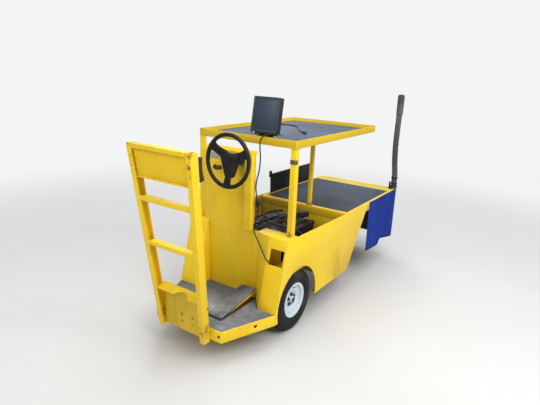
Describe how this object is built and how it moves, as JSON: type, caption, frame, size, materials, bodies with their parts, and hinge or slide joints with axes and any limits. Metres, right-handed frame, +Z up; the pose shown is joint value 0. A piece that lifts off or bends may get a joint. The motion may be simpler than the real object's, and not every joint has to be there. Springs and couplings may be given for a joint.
{
  "type": "stand-on electric burden carrier",
  "caption": "Stand-on electric burden carrier with a ladder backrest, writing tray and cargo deck, driven rear wheels and a steered front wheel.",
  "frame": {"origin": "on the floor under the middle of the outline", "axes": "+X towards the cargo deck, the way it drives; +Y to the driver's left; +Z up"},
  "size_m": [2.5394, 0.7994, 1.4885],
  "materials": {
    "yellow_paint": "safety yellow enamel over steel, scuffed at the edges",
    "grey_mat": "ribbed anti-slip rubber",
    "tyre": "matt tread rubber",
    "white_paint": "white gloss enamel",
    "black_steel": "black chassis paint",
    "motor_grey": "cast housing",
    "black_plastic": "moulded black plastic",
    "black_pad": "black vinyl over foam",
    "slate_plastic": "slate housing",
    "blue_cloth": "woven blue cloth",
    "black_rubber": "black cable sheath"
  },
  "bodies": {
    "carrier": {"platform_frame": "yellow_paint", "ladder_uprights": "yellow_paint", "ladder_header": "yellow_paint", "ladder_rungs": "yellow_paint", "kick_panel": "yellow_paint", "side_panel_left": "yellow_paint", "side_panel_right": "yellow_paint", "shoulder_left": "yellow_paint", "shoulder_right": "yellow_paint", "bay_floor": "yellow_paint", "dash_panel": "yellow_paint", "tray_pan": "yellow_paint", "tray_posts": "yellow_paint", "deck_frame": "yellow_paint", "platform_mat": "grey_mat", "foot_pedal": "grey_mat", "tray_mat": "grey_mat", "deck_mat": "grey_mat", "chassis_rails": "black_steel", "drive_axle": "black_steel", "drive_motor": "motor_grey", "front_apron": "black_plastic", "side_board": "black_plastic", "key_switch": "black_plastic", "display_cradle": "black_plastic", "battery_connector": "black_plastic", "lead_connector": "black_plastic", "display_plug": "black_plastic", "battery_pack": "black_plastic", "steering_column": "black_steel", "pole_bracket": "black_steel", "back_pad": "black_pad", "corner_pole": "black_pad", "display_box": "slate_plastic", "blue_cloth": "blue_cloth", "battery_cables": "black_rubber", "display_lead": "black_rubber", "power_lead": "black_rubber", "power_drop": "black_rubber"},
    "steering": {"steering_wheel": "black_plastic"},
    "fork": {"steer_fork": "black_steel"},
    "front_wheel": {"front_tyre": "tyre", "front_rim": "white_paint"},
    "rear_wheel_left": {"rear_tyre_left": "tyre", "rear_rim_left": "white_paint"},
    "rear_wheel_right": {"rear_tyre_right": "tyre", "rear_rim_right": "white_paint"}
  },
  "joints": [
    {"name": "rear_wheel_left_spin", "type": "hinge", "parent": "carrier", "child": "rear_wheel_left", "pos_m": [-0.46032, 0.32665, 0.208], "axis": [0, 1, 0], "continuous": true},
    {"name": "rear_wheel_right_spin", "type": "hinge", "parent": "carrier", "child": "rear_wheel_right", "pos_m": [-0.46032, -0.31535, 0.208], "axis": [0, 1, 0], "continuous": true},
    {"name": "front_steer", "type": "hinge", "parent": "carrier", "child": "fork", "pos_m": [0.82167, 0.00565, 0.208], "axis": [0, 0, 1], "range_deg": [-60, 60]},
    {"name": "front_wheel_spin", "type": "hinge", "parent": "fork", "child": "front_wheel", "pos_m": [0.79767, 0.00565, 0.208], "axis": [0, 1, 0], "continuous": true},
    {"name": "steering_turn", "type": "hinge", "parent": "carrier", "child": "steering", "pos_m": [-0.72732, -0.00635, 1.115], "axis": [-0.9986, 0, 0.0523], "range_deg": [-360, 360]}
  ],
  "couplings": [
    {"joint": "steering_turn", "follows": "front_steer", "ratio": 6}
  ]
}
